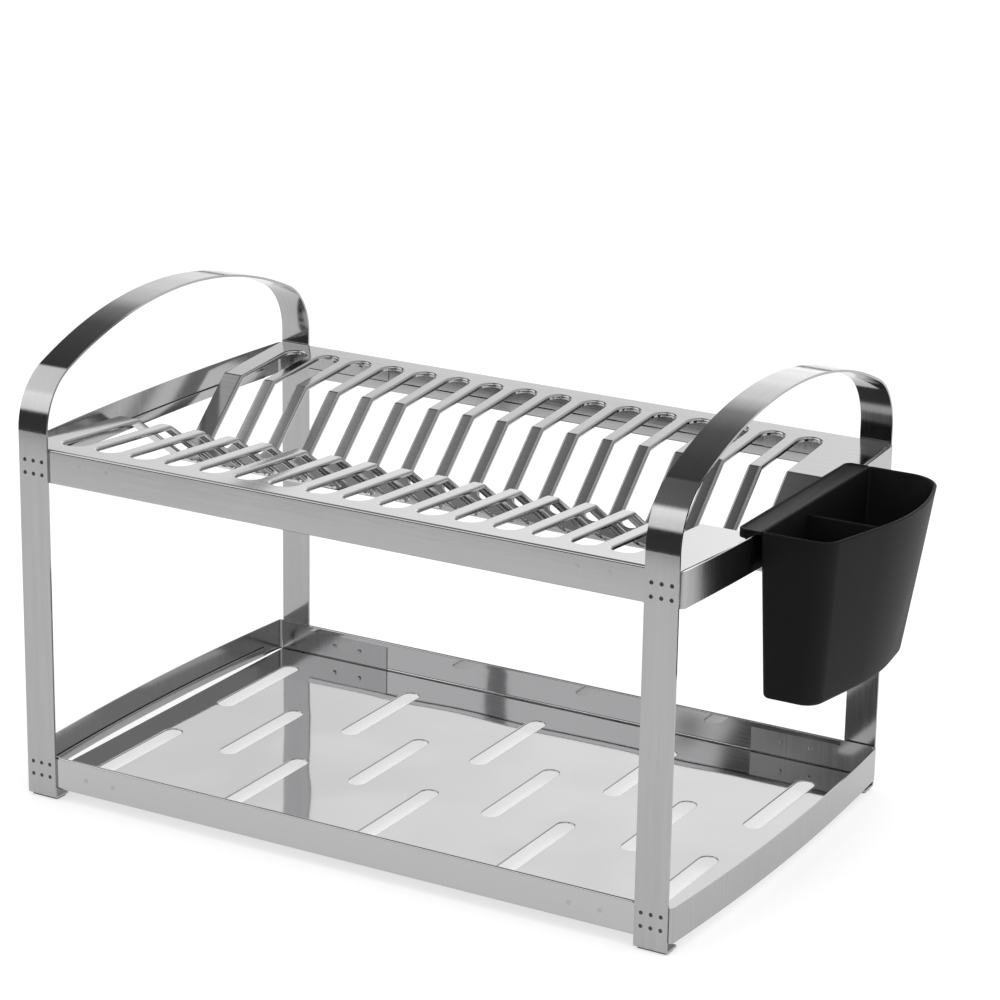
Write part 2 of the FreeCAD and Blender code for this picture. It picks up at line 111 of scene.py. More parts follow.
# section of the hem along a strip's lower edge, in millimetres: inward, up
HEM_SECTION = (
    (0.5, 0.3), (0.8, 0.0), (1.5, 0.05), (2.0, 0.3), (2.2, 0.8), (2.2, 6.3), (2.0, 6.5), (1.6, 6.5),
    (1.4, 6.3), (1.4, 1.0), (1.2, 0.8), (0.5, 0.75),
)
FULL_LAP = 202.0 * MM
PLATE_EDGE_GAP = 0.3 * MM

# spot welds
WELD_RADIUS = 1.2 * MM
WELD_DIMPLE = 0.25 * MM
WELD_RIM_BEND = 0.2 * MM
WELD_SPACING = 6.35 * MM
WELD_ROWS = (0.0, 8.3 * MM)
LOWEST_WELD = {"upper": 213.3 * MM, "lower": 15.4 * MM}
LAP_WELDS = (160.8 * MM, 181.1 * MM)
LAP_WELD_HEIGHT = {"upper": 221.8 * MM, "lower": 18.0 * MM}
# turned profiles from the middle out, in millimetres: radius, height above the sheet
DIMPLE = ((0.25, 0.02), (0.5, 0.0), (0.75, 0.07), (0.95, 0.11), (1.14, 0.03), (1.16, -0.8))
BUMP = ((0.3, 0.30), (0.7, 0.27), (1.1, 0.17), (1.4, 0.08), (1.6, 0.0), (1.58, -0.5))
MARK = ((0.4, 0.01), (0.8, 0.0), (1.2, 0.005), (1.5, 0.006), (1.6, 0.001), (1.58, -0.4))

# foot pads, in millimetres: inset and height of each level, from the ground up
PAD_LEVELS = ((0.5, 0.0), (0.1, 0.15), (0.0, 0.4), (0.0, 0.9), (0.1, 1.15), (0.3, 1.2))
PAD_CORNER = 1.8 * MM
PAD_EDGE_ROUND = 0.1 * MM

# cutlery bin
BIN_GAUGE = 2.0 * MM
BIN_BASE_ROUND = 3.2 * MM
BIN_INNER_ROUND = 2.5 * MM
BIN_LEAST_CORNER = 0.8
# plan corners of the bin at its base and at its rim, in millimetres: x, y, radius
BASE_PLAN = (
    (238.5, -62.5, 4.0), (271.5, -62.5, 12.0), (282.5, 5.0, 150.0), (274.0, 69.0, 26.0),
    (238.5, 69.0, 4.0),
)
RIM_PLAN = (
    (233.5, -63.5, 4.0), (277.5, -63.5, 12.0), (300.0, 25.4, 150.0), (280.0, 89.0, 24.0),
    (233.5, 89.0, 4.0),
)
PLAN_STEPS = (5, 12, 20, 16, 5)
INWARD = ((1, 1), (-1, 1), (-1, 0), (-1, -1), (1, -1))
DIVIDER_PLACE = -1.6 * MM
DIVIDER_GAUGE = 1.6 * MM
DIVIDER_DROP = 6.0 * MM
RAIL_EDGE = 219.5 * MM
RAIL_NOSE = 5.0 * MM
RAIL_GAUGE = 2.0 * MM
RAIL_CORNER = 0.5 * MM
# the rail's plate, in millimetres: inset and height of each level, from its underside up
RAIL_LEVELS = (
    (0.5, 0.0), (0.1, 0.2), (0.0, 0.5), (0.0, 1.4), (0.15, 1.75), (0.5, 2.0), (1.4, 2.0), (1.7, 1.8),
    (2.0, 1.4), (2.4, 1.25),
)
# the hook reaches round to HOOK_REACH; past DECK_GAP, between the deck and the strip, it hangs lower
HOOK_REACH = 230.2 * MM
HOOK_LOW = 226.6 * MM
DECK_GAP = 224.7 * MM
HOOK_DEEP = 221.5 * MM
# section of the hook, in millimetres: inward, up from its lower edge; None is its root in the rail
HOOK_SECTION = (
    (0.0, None), (0.0, 0.4), (0.25, 0.1), (0.6, 0.0), (1.6, 0.0), (1.95, 0.1), (2.2, 0.4), (2.2, None),
)

# studio, in metres and watts
FLOOR_FRONT = -0.80
FLOOR_REACH = 6.0
# name, place, what it aims at, size, power
LIGHTS = (
    ("overhead", (0.4, -0.6, 2.4), (0, 0, 0.1), (2.4, 1.6), 10.0),
    ("right_side", (2.2, 0.2, 1.2), (0.2, 0, 0.15), (1.2, 1.2), 8.0),
)
CAMERA_PLACE = (0.9685, -1.6685, 0.8071)
CAMERA_AZIMUTH = math.radians(29.37)
CAMERA_ELEVATION = math.radians(17.62)
CAMERA_ROLL = math.radians(0.99)
LENS = 118.0

# what the steel mirrors: levels by the angle up from straight ahead in front, over the top, to the back
STUDIO_ARC = (
    (0, 0.07), (15, 0.06), (20, 1.6), (49, 1.9), (56, 0.12), (90, 0.08), (112, 0.10), (131, 0.20),
    (141, 0.55), (147, 1.3), (155, 1.55), (180, 1.55),
)
# levels by the sideways part of the direction, -1 at the left and 1 at the right: a tall pale screen
# on the left, and a dark flag low down in front
LEFT_SCREEN = ((-0.62, 1.0), (-0.57, 0.9), (-0.545, 0.30), (-0.40, 0.06), (-0.36, 0.0))
LOW_FLAG = ((-0.60, 1.0), (-0.396, 1.0), (-0.384, 0.10), (-0.20, 0.10), (0.10, 0.8))
# a range and the levels at its two ends: of the sideways direction, and of the clouds on the wall
CEILING = ((-0.28, -0.18), (0.0, 1.0))
WALL_LEFT = ((-0.60, -0.40), (0.76, 1.04))
WALL_RIGHT = ((0.0, 0.4), (1.0, 0.45))
WALL_CLOUDS = ((0.35, 0.65), (0.86, 1.0))
# soft edges, as angles of the arc, and strengths
FLAG_TOP = (34.0, 38.0)
SCREEN_EDGES = ((50.0, 56.0), (103.0, 107.0))
SCREEN_GLOW = 1.5
CEILING_EDGES = ((60.0, 75.0), (135.0, 150.0))
CEILING_GLOW = 0.7
# where the front of the studio gives way to the back wall, by the depth part of the direction
WALL_START = (-0.1, 0.3)

SIDES = {"left": -1, "right": 1}
ENDS = {"front": -1, "back": 1}
TIERS = ("upper", "lower")


# --- flat paths -----------------------------------------------------------------------------


class Path:
    """Straight runs joined by tangent arcs in a plane, measured by the distance along them."""

    def __init__(self, corners):
        points = [Vector((across, up)) for across, up, _ in corners]
        self.parts = []
        self.length = 0.0
        at = points[0]
        for before, corner, after, (_, _, radius) in zip(points, points[1:], points[2:], corners[1:]):
            back = (before - corner).normalized()
            ahead = (after - corner).normalized()
            half = back.angle(ahead) / 2
            reach = radius / math.tan(half)
            self.add_run(at, corner + back * reach)
            centre = corner + (back + ahead).normalized() * (radius / math.sin(half))
            turn = math.pi - 2 * half
            if (-back).cross(ahead) < 0:
                turn = -turn
            self.add_arc(centre, corner + back * reach, radius, turn)
            at = corner + ahead * reach
        self.add_run(at, points[-1])

    def add_run(self, begin, finish):
        size = (finish - begin).length
        self.parts.append(("run", self.length, size, begin, (finish - begin).normalized(), 0.0))
        self.length += size

    def add_arc(self, centre, begin, radius, turn):
        size = radius * abs(turn)
        self.parts.append(("arc", self.length, size, centre, begin - centre, turn))
        self.length += size

    def at(self, place):
        """The point and the direction at a distance along the path."""
        starts = [part[1] for part in self.parts]
        kind, start, size, anchor, arm, turn = self.parts[max(0, bisect.bisect_right(starts, place) - 1)]
        if kind == "run":
            return anchor + arm * (place - start), arm
        angle = turn * (place - start) / size
        spoke = arm.copy()
        spoke.rotate(Matrix.Rotation(angle, 2))
        heading = Vector((-spoke.y, spoke.x)).normalized()
        return anchor + spoke, heading if turn > 0 else -heading

    def rows(self):
        """Distances at which a mesh of the path needs a row of points."""
        places = [0.0]
        for kind, start, size, _, _, turn in self.parts:
            steps = 1
            if kind == "arc":
                steps = max(2, math.ceil(abs(turn) / ARC_STEP))
                if size > LONG_ARC:
                    steps = LONG_ARC_STEPS
            places += [start + size * step / steps for step in range(1, steps + 1)]
        return places

    def where(self, across):
        """The distance at which the path's runs and arcs first pass a first coordinate."""
        places = self.rows()
        for low, high in zip(places, places[1:]):
            begin, finish = self.at(low)[0].x, self.at(high)[0].x
            if min(begin, finish) <= across <= max(begin, finish) and abs(finish - begin) > 1e-7:
                return low + (high - low) * (across - begin) / (finish - begin)
        raise ValueError("the path never gets there")


# --- mesh helpers ---------------------------------------------------------------------------


def new_piece(name, mesh_data, body, node, material):
    """Puts a finished bmesh in the scene as a piece that stands for a CAD node."""
    mesh = bpy.data.meshes.new(name)
    bmesh.ops.remove_doubles(mesh_data, verts=mesh_data.verts, dist=1e-7)
    mesh_data.to_mesh(mesh)
    mesh_data.free()
    piece = bpy.data.objects.new(name, mesh)
    bpy.context.scene.collection.objects.link(piece)
    mesh.materials.append(material)
    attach(piece, body)
    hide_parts(node)
    return piece


def thicken(piece, gauge):
    """Gives a single skin the sheet's thickness, behind the skin."""
    solid = piece.modifiers.new("gauge", "SOLIDIFY")
    solid.thickness = gauge
    solid.offset = -1
    solid.use_even_offset = True
    return piece


def soften(piece, width=EDGE_ROUND, segments=2, angle=40):
    """Rounds the sharp edges and smooths the shading, so that edges catch the light."""
    bevel = piece.modifiers.new("edges", "BEVEL")
    bevel.width = width
    bevel.segments = segments
    bevel.limit_method = "ANGLE"
    bevel.angle_limit = math.radians(angle)
    piece.data.shade_smooth()
    shading = piece.modifiers.new("shading", "WEIGHTED_NORMAL")
    shading.weight = 80
    shading.keep_sharp = True
    return piece


def in_slot(slot, place, margin):
    """Half the width of a round-ended slot at a distance along the sheet, or nothing."""
    low, high, radius = slot
    wide = radius + margin
    past = max(low + radius - place, place - high + radius, 0.0)
    if past >= wide - 1e-9:
        return 0.0
    return math.sqrt(wide * wide - past * past)


class Sheet:
    """A bent sheet: a path in one plane, carried sideways, with round-ended slots in columns."""

    def __init__(self, path, columns, to_space, side, rim_bend=0.0, rim_depth=0.0, end_steps=7):
        self.path = path
        self.columns = sorted(columns, key=lambda column: column[0])
        self.to_space = to_space
        self.side = side
        self.rim_bend = rim_bend
        self.rim_depth = rim_depth
        self.data = bmesh.new()
        self.uv = self.data.loops.layers.uv.new("grain")
        self.rows = self.all_rows(end_steps)

    def all_rows(self, steps):
        places = set(self.path.rows())
        for _, slots in self.columns:
            for low, high, radius in slots:
                wide = radius + self.rim_bend
                for step in range(steps + 1):
                    past = wide * (1 - math.cos(math.pi / 2 * step / steps))
                    places.add(low - self.rim_bend + past)
                    places.add(high + self.rim_bend - past)
        kept = []
        for place in sorted(places):
            if not kept or place - kept[-1] > 1e-5:
                kept.append(place)
        return kept

    def add_rows(self, places):
        self.rows = sorted(set(self.rows) | set(places))

    def point(self, across, place, height=0.0):
        """A point of the sheet; height is measured out of its skin."""
        spot, heading = self.path.at(place)
        out = Vector((-heading.y, heading.x)) * self.side
        return self.to_space(across, spot + out * height)

    def face(self, corners):
        """Adds a face from (across, place, height) corners, with its grain coordinates."""
        verts = [self.data.verts.new(self.point(*corner)) for corner in corners]
        made = self.data.faces.new(verts)
        for loop, (across, place, height) in zip(made.loops, corners):
            loop[self.uv].uv = (across - height, place)
        return made

    def edges(self, place):
        """Left and right edge of every column; a plain column keeps clear of the slots beside it."""
        spans = []
        for across, slots in self.columns:
            width = max([in_slot(slot, place, self.rim_bend) for slot in slots], default=0.0)
            spans.append((across - width, across + width))
        for spot, (across, slots) in enumerate(self.columns):
            if slots:
                continue
            if spot > 0:
                across = max(across, spans[spot - 1][1] + COLUMN_CLEAR)
            if spot + 1 < len(spans):
                across = min(across, spans[spot + 1][0] - COLUMN_CLEAR)
            spans[spot] = (across, across)
        return spans

    def build(self, keep=None):
        """Fills the sheet between its columns, leaving the slots open, and turns their rims."""
        spans = [self.edges(place) for place in self.rows]
        for row, (low, high) in enumerate(zip(self.rows, self.rows[1:])):
            for spot in range(len(self.columns) - 1):
                middle = (self.columns[spot][0] + self.columns[spot + 1][0]) / 2
                if keep and not keep(middle, (low + high) / 2):
                    continue
                self.face([
                    (spans[row][spot][1], low, 0.0),
                    (spans[row][spot + 1][0], low, 0.0),
                    (spans[row + 1][spot + 1][0], high, 0.0),
                    (spans[row + 1][spot][1], high, 0.0),
                ])
        for across, slots in self.columns:
            for slot in slots:
                self.turn_rim(across, slot)
        bmesh.ops.remove_doubles(self.data, verts=self.data.verts, dist=2e-6)
        if self.side < 0:
            bmesh.ops.reverse_faces(self.data, faces=self.data.faces)
        return self.data

    def turn_rim(self, across, slot):
        """Rolls the edge of one slot down through the sheet."""
        if not self.rim_bend:
            return
        low, high, radius = slot
        outline = [place for place in self.rows if in_slot(slot, place, self.rim_bend) > 0]
        ends = (low - self.rim_bend, high + self.rim_bend)
        right = [(1, place) for place in outline]
        left = [(-1, place) for place in reversed(outline)]
        loop = [(0, ends[0])] + right + [(0, ends[1])] + left
        profile = [
            (self.rim_bend * math.sin(turn), self.rim_bend * (1 - math.cos(turn)))
            for turn in (math.radians(angle) for angle in RIM_ANGLES)
        ]
        if self.rim_depth > self.rim_bend:
            profile.append((self.rim_bend, self.rim_depth))
        rings = []
        for inward, drop in profile:
            ring = []
            for sign, place in loop:
                width = in_slot(slot, place, self.rim_bend)
                spine = min(max(place, low + radius), high - radius)
                arm = Vector((sign * width, place - spine))
                reach = arm.length
                arm *= (reach - inward) / reach
                ring.append((across + arm.x, spine + arm.y, -drop))
            rings.append(ring)
        for outer, inner in zip(rings, rings[1:]):
            for spot in range(len(loop)):
                after = (spot + 1) % len(loop)
                self.face([outer[spot], outer[after], inner[after], inner[spot]])


def across_x(across, spot):
    """A path in the YZ plane carried along X."""
    return Vector((across, spot.x, spot.y))


def across_z(across, spot):
    """A path in the XY plane carried along Z."""
    return Vector((spot.x, spot.y, across))


# --- materials ------------------------------------------------------------------------------

# the levels between which most of a noise texture lies
NOISE_RANGE = (0.3, 0.7)
# scales of the rolling grain, across it and along it
GRAIN_FINE = 1400.0
GRAIN_LONG = 25.0


class Wiring:
    """Adds and joins the nodes of a tree."""

    def __init__(self, tree):
        self.tree = tree

    def add(self, kind, **settings):
        node = self.tree.nodes.new(kind)
        for name, setting in settings.items():
            if name in node.inputs:
                node.inputs[name].default_value = setting
            else:
                setattr(node, name, setting)
        return node

    def link(self, source, target):
        self.tree.links.new(source, target)

    def coordinates(self, output, scale):
        """Texture coordinates stretched by three factors."""
        place = self.add("ShaderNodeTexCoord")
        mapping = self.add("ShaderNodeMapping")
        mapping.inputs["Scale"].default_value = scale
        self.link(place.outputs[output], mapping.inputs["Vector"])
        return mapping.outputs["Vector"]

    def noise(self, vector, scale, detail=2.0, roughness=0.5):
        node = self.add("ShaderNodeTexNoise", Scale=scale, Detail=detail, Roughness=roughness)
        self.link(vector, node.inputs["Vector"])
        return node.outputs["Fac"]

    def spread(self, value, source, target):
        """Maps a value from one range to another."""
        node = self.add("ShaderNodeMapRange")
        node.inputs["From Min"].default_value, node.inputs["From Max"].default_value = source
        node.inputs["To Min"].default_value, node.inputs["To Max"].default_value = target
        self.link(value, node.inputs["Value"])
        return node.outputs["Result"]

    def combine(self, first, second, share):
        """A weighted sum of two values."""
        scaled = self.add("ShaderNodeMath", operation="MULTIPLY")
        scaled.inputs[1].default_value = share
        self.link(second, scaled.inputs[0])
        total = self.add("ShaderNodeMath", operation="ADD")
        self.link(first, total.inputs[0])
        self.link(scaled.outputs[0], total.inputs[1])
        return total.outputs[0]

    def tint(self, value, dark, light):
        """A colour between two, chosen by a value from 0 to 1."""
        node = self.add("ShaderNodeMix", data_type="RGBA")
        node.inputs["A"].default_value = (*dark, 1.0)
        node.inputs["B"].default_value = (*light, 1.0)
        self.link(value, node.inputs["Factor"])
        return node.outputs["Result"]

    def bump(self, height, strength, distance):
        node = self.add("ShaderNodeBump", Strength=strength, Distance=distance)
        self.link(height, node.inputs["Height"])
        return node.outputs["Normal"]


class Shader(Wiring):
    """The node tree of a new material."""

    def __init__(self, name):
        self.material = bpy.data.materials.new(name)
        self.material.use_nodes = True
        super().__init__(self.material.node_tree)
        self.surface = self.tree.nodes["Principled BSDF"]


def make_steel(name, colour, rough, grain_along, wave, grain_bump, contrast=0.08):
    """Stainless steel with rolling grain, faint waviness and wiped smudges."""
    shader = Shader(name)
    along, over = GRAIN_LONG, GRAIN_FINE
    if grain_along == "place":
        along, over = over, along
    grain_space = shader.coordinates("UV", (along, over, 1.0))
    grain = shader.noise(grain_space, 1.0, detail=3.0, roughness=0.62)
    coarse_space = shader.coordinates("UV", (along * 0.18, over * 0.3, 1.0))
    coarse = shader.noise(coarse_space, 1.0, detail=2.0)
    solid = shader.coordinates("Object", (1.0, 1.0, 1.0))
    smudge = shader.noise(solid, 14.0, detail=4.0, roughness=0.6)
    dents = shader.noise(solid, 9.0, detail=1.0)
    streaks = shader.combine(grain, coarse, 0.6)
    light = [part * (1 + contrast * 0.6) for part in colour]
    dark = [part * (1 - contrast) for part in colour]
    shader.link(
        shader.tint(shader.spread(streaks, (0.45, 1.15), (0.0, 1.0)), dark, light),
        shader.surface.inputs["Base Color"],
    )
    low, high = rough
    uneven = shader.combine(shader.spread(grain, NOISE_RANGE, rough), smudge, (high - low) * 0.8)
    shader.link(uneven, shader.surface.inputs["Roughness"])
    relief = shader.add("ShaderNodeBump", Strength=grain_bump, Distance=0.00002)
    shader.link(grain, relief.inputs["Height"])
    broad = shader.add("ShaderNodeBump", Strength=wave, Distance=0.006)
    shader.link(dents, broad.inputs["Height"])
    shader.link(broad.outputs["Normal"], relief.inputs["Normal"])
    shader.link(relief.outputs["Normal"], shader.surface.inputs["Normal"])
    shader.surface.inputs["Metallic"].default_value = 1.0
    return shader.material


def make_weld_metal(name, dark, light, rough):
    """Heat-tinted steel of a spot weld."""
    shader = Shader(name)
    solid = shader.coordinates("Object", (1.0, 1.0, 1.0))
    speckle = shader.noise(solid, 2500.0, detail=3.0)
    shader.link(shader.tint(speckle, dark, light), shader.surface.inputs["Base Color"])
    shader.link(shader.spread(speckle, NOISE_RANGE, rough), shader.surface.inputs["Roughness"])
    shader.link(shader.bump(speckle, 0.4, 0.00005), shader.surface.inputs["Normal"])
    shader.surface.inputs["Metallic"].default_value = 0.9
    return shader.material


def make_bin_plastic():
    """Black polypropylene with a fine moulded texture and faint wipe marks."""
    shader = Shader("bin_plastic")
    solid = shader.coordinates("Object", (1.0, 1.0, 1.0))
    texture = shader.noise(solid, 2600.0, detail=2.0)
    cloud = shader.noise(solid, 22.0, detail=4.0, roughness=0.6)
    shader.link(
        shader.tint(cloud, (0.0043, 0.0043, 0.0045), (0.0064, 0.0062, 0.0062)),
        shader.surface.inputs["Base Color"],
    )
    shader.link(
        shader.combine(shader.spread(texture, NOISE_RANGE, (0.42, 0.56)), cloud, 0.06),
        shader.surface.inputs["Roughness"],
    )
    shader.link(shader.bump(texture, 0.35, 0.00004), shader.surface.inputs["Normal"])
    shader.surface.inputs["Specular IOR Level"].default_value = 0.12
    return shader.material


def make_rubber():
    """Matte black pad."""
    shader = Shader("pad_rubber")
    solid = shader.coordinates("Object", (1.0, 1.0, 1.0))
    grit = shader.noise(solid, 1800.0, detail=4.0)
    shader.link(
        shader.tint(grit, (0.012, 0.012, 0.012), (0.035, 0.034, 0.033)),
        shader.surface.inputs["Base Color"],
    )
    shader.link(shader.spread(grit, NOISE_RANGE, (0.65, 0.9)), shader.surface.inputs["Roughness"])
    shader.link(shader.bump(grit, 0.5, 0.0001), shader.surface.inputs["Normal"])
    return shader.material


def make_floor_paint():
    """Plain pale studio floor."""
    shader = Shader("floor_paint")
    solid = shader.coordinates("Object", (1.0, 1.0, 1.0))
    mottle = shader.noise(solid, 3.0)
    shader.link(
        shader.tint(mottle, (0.44, 0.44, 0.44), (0.47, 0.47, 0.47)),
        shader.surface.inputs["Base Color"],
    )
    shader.surface.inputs["Roughness"].default_value = 0.9
    shader.surface.inputs["Specular IOR Level"].default_value = 0.1
    shader.surface.inputs["Emission Color"].default_value = (1.0, 1.0, 1.0, 1.0)
    shader.surface.inputs["Emission Strength"].default_value = 0.6
    return shader.material


STRAP_STEEL = make_steel("strap_steel", (0.38, 0.38, 0.385), (0.05, 0.11), "place", 0.03, 0.25)
STRIP_STEEL = make_steel("strip_steel", (0.39, 0.39, 0.395), (0.11, 0.18), "across", 0.03, 0.05)
DECK_STEEL = make_steel("deck_steel", (0.40, 0.40, 0.405), (0.06, 0.13), "across", 0.08, 0.15)
TRAY_STEEL = make_steel("tray_steel", (0.45, 0.45, 0.455), (0.02, 0.06), "across", 0.22, 0.03, 0.02)
WELD_METAL = make_weld_metal("weld_metal", (0.025, 0.023, 0.022), (0.12, 0.105, 0.095), (0.35, 0.6))
BUMP_METAL = make_weld_metal("bump_metal", (0.37, 0.37, 0.37), (0.41, 0.41, 0.41), (0.06, 0.13))
BIN_PLASTIC = make_bin_plastic()
PAD_RUBBER = make_rubber()


# --- end frames -----------------------------------------------------------------------------


def weld_rows_along(path, heights, up_leg):
    """Distances along a strap at which its rows of welds sit, on the front or the back leg."""
    rows = []
    for height in heights:
        for kind, start, size, begin, heading, _ in path.parts:
            if kind == "run" and abs(heading.y) > 0.99 and (heading.y > 0) == up_leg:
                rows.append(start + abs(height - begin.y))
    return rows


def make_end_frame(side):
    """One strap, bent into two feet, two legs and the arch that joins them."""
    node = f"{side}_end_frame"
    low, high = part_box(node)
    front, back, ground = low.y, high.y, low.z
    path = Path([
        (front + FOOT_LENGTH, ground, 0),
        (front, ground, FOOT_BEND),
        (front, SHOULDER_HEIGHT, SHOULDER_RADIUS),
        (0, CROWN_PEAK, CROWN_RADIUS),
        (back, SHOULDER_HEIGHT, SHOULDER_RADIUS),
        (back, ground, FOOT_BEND),
        (back - FOOT_LENGTH, ground, 0),
    ])
    heights = [LOWEST_WELD[tier] + row for tier in TIERS for row in WELD_ROWS]
    places = weld_rows_along(path, heights, True) + weld_rows_along(path, heights, False)
    holes = [(place - WELD_RADIUS, place + WELD_RADIUS, WELD_RADIUS) for place in places]
    centre = (low.x + high.x) / 2
    columns = [(low.x, []), (high.x, [])]
    columns += [(centre + column * WELD_SPACING, holes) for column in (-1, 0, 1)]
    sheet = Sheet(path, columns, across_x, 1, rim_bend=WELD_RIM_BEND, end_steps=5)
    piece = new_piece(f"{side}_strap", sheet.build(), "rack", node, STRAP_STEEL)
    soften(thicken(piece, STRAP_GAUGE), STRAP_EDGE_ROUND, segments=3)


# --- plate deck and drip tray ---------------------------------------------------------------


def make_tier_sheet(name, node, material, path, columns, rim_bend, rim_depth, fold):
    """A tier's sheet; the folded edges stop where the side strips lap inside the flanges."""
    low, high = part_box(node)
    columns = columns + [(edge, []) for edge in (low.x, high.x, -FULL_LAP, FULL_LAP)]
    sheet = Sheet(path, columns, across_x, 1, rim_bend, rim_depth)
    fold_ends = (fold, path.length - fold)

    def keep(across, place):
        return abs(across) < FULL_LAP or fold_ends[0] < place < fold_ends[1]

    sheet.add_rows(fold_ends)
    piece = new_piece(name, sheet.build(keep), "rack", node, material)
    soften(thicken(piece, GAUGE))


def make_plate_deck():
    """The upper tier: two ledges with a slotted valley between them, and a flange at either edge."""
    low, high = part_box("plate_deck")
    front, back = low.y, high.y
    flange_low = DECK_FRONT_EDGE - FLANGE_HEIGHT
    hem_top = flange_low + DECK_HEM
    path = Path([
        (front + HEM_FOLD, hem_top, 0),
        (front + HEM_FOLD, flange_low, HEM_BEND),
        (front, flange_low, HEM_BEND),
        (front, DECK_FRONT_EDGE, FLANGE_BEND),
        (*FRONT_CREASE, CREASE_RADIUS),
        (*VALLEY, CREASE_RADIUS),
        (*BACK_CREASE, CREASE_RADIUS),
        (back, DECK_BACK_EDGE, FLANGE_BEND),
        (back, flange_low, HEM_BEND),
        (back - HEM_FOLD, flange_low, HEM_BEND),
        (back - HEM_FOLD, hem_top, 0),
    ])
    slots = [
        (path.where(begin), path.where(finish), SLOT_WIDTH / 2)
        for begin, finish in (FRONT_SLOT, BACK_SLOT)
    ]
    columns = [(FIRST_SLOT + SLOT_PITCH * index, slots) for index in range(PLATE_SLOTS)]
    fold = DECK_HEM + HEM_BEND
    make_tier_sheet("deck_sheet", "plate_deck", DECK_STEEL, path, columns, RIM_BEND, SLOT_RIM, fold)


def make_drip_tray():
    """The lower tier: a floor with staggered drain slots, between two walls with a folded lip."""
    low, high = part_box("drip_tray")
    front, back = low.y, high.y
    floor, top = low.z + GAUGE, high.z
    lip = top - TRAY_LIP
    inner_bend = HEM_BEND - GAUGE
    path = Path([
        (front + HEM_FOLD - GAUGE, lip, 0),
        (front + HEM_FOLD - GAUGE, top - GAUGE, inner_bend),
        (front + GAUGE, top - GAUGE, inner_bend),
        (front + GAUGE, floor, FLANGE_BEND),
        (back - GAUGE, floor, FLANGE_BEND),
        (back - GAUGE, top - GAUGE, inner_bend),
        (back - HEM_FOLD + GAUGE, top - GAUGE, inner_bend),
        (back - HEM_FOLD + GAUGE, lip, 0),
    ])
    half = DRAIN_LENGTH / 2
    far = DRAIN_GAP / 2 + half

    def drain(middle):
        return path.where(middle - half), path.where(middle + half), DRAIN_WIDTH / 2

    outer = [drain(DRAIN_MIDDLE - far), drain(DRAIN_MIDDLE + far)]
    inner = [drain(DRAIN_MIDDLE)]
    columns = [
        (FIRST_DRAIN + DRAIN_PITCH * index, inner if index % 2 else outer)
        for index in range(DRAIN_COLUMNS)
    ]
    make_tier_sheet(
        "tray_sheet", "drip_tray", TRAY_STEEL, path, columns, DRAIN_RIM_BEND, DRAIN_RIM, TRAY_LIP
    )


# --- side strips ----------------------------------------------------------------------------


def make_strip_hem(node, path, sign):
    """The edge folded up inside a strip, over the strip's free length."""
    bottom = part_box(node)[0].z
    data = bmesh.new()
    uv = data.loops.layers.uv.new("grain")
    rings = []
    for place in path.rows():
        spot, heading = path.at(place)
        if abs(spot.y) >= STRIP_HEM_END:
            continue
        inward = Vector((-heading.y, heading.x)) * sign
        ring = []
        for depth, rise in HEM_SECTION:
            point = spot + inward * depth * MM
            ring.append(Vector((point.x, point.y, bottom + rise * MM)))
        rings.append(ring)
    add_rings(data, rings)
    bmesh.ops.recalc_face_normals(data, faces=data.faces)
    for face in data.faces:
        for loop in face.loops:
            loop[uv].uv = (loop.vert.co.z, loop.vert.co.y)
    piece = new_piece(f"{node}_hem", data, "rack", node, STRIP_STEEL)
    piece.data.shade_smooth()
    piece.data.set_sharp_from_angle(angle=math.radians(40))


def make_side_strip(tier, side):
    """A bowed strip; its ends lap inside the tier's flanges and clear the tier's folded edges."""
    node = f"{tier}_{side}_strip"
    low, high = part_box(node)
    sign = SIDES[side]
    end = high.x if side == "left" else low.x
    path = Path([
        (end, low.y, 0),
        (sign * STRIP_CORNER, low.y, STRIP_CORNER_BEND),
        (sign * STRIP_BOW_PEAK, 0, STRIP_BOW_RADIUS),
        (sign * STRIP_CORNER, high.y, STRIP_CORNER_BEND),
        (end, high.y, 0),
    ])
    plate_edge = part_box("plate_deck")[1].x + PLATE_EDGE_GAP
    if tier == "upper":
        short_low, short_top = low.z + DECK_HEM + PLATE_EDGE_GAP, high.z - 2 * GAUGE
        full_low, full_top = low.z, high.z - 2 * GAUGE
    else:
        short_low, short_top = low.z + 2 * GAUGE, high.z - TRAY_LIP - PLATE_EDGE_GAP
        full_low, full_top = low.z + 2 * GAUGE, high.z
    levels = sorted({low.z, high.z, short_low, short_top, full_low, full_top})
    sheet = Sheet(path, [(level, []) for level in levels], across_z, -sign)
    lap_ends = [path.where(sign * FULL_LAP), path.where(sign * plate_edge)]
    sheet.add_rows(lap_ends + [path.length - place for place in lap_ends])

    def keep(level, place):
        run = min(place, path.length - place)
        if run < lap_ends[0]:
            return short_low < level < short_top
        if run < lap_ends[1]:
            return full_low < level < full_top
        return True

    piece = new_piece(f"{node}_band", sheet.build(keep), "rack", node, STRIP_STEEL)
    soften(thicken(piece, GAUGE))
    make_strip_hem(node, path, sign)


# --- welds and pads -------------------------------------------------------------------------


def add_lathe(data, centre, axis, profile, segments=20):
    """Adds a round closed skin; profile is (radius, height along the axis), from the middle out."""
    turn = axis.to_track_quat("Z", "Y").to_matrix()
    rings = []
    for radius, height in profile:
        ring = []
        for step in range(segments):
            angle = 2 * math.pi * step / segments
            spot = Vector((radius * math.cos(angle), radius * math.sin(angle), height))
            ring.append(data.verts.new(centre + turn @ spot))
        rings.append(ring)
    data.faces.new(rings[0])
    data.faces.new(list(reversed(rings[-1])))
    for inner, outer in zip(rings, rings[1:]):
        for step in range(segments):
            after = (step + 1) % segments
            data.faces.new((inner[step], outer[step], outer[after], inner[after]))


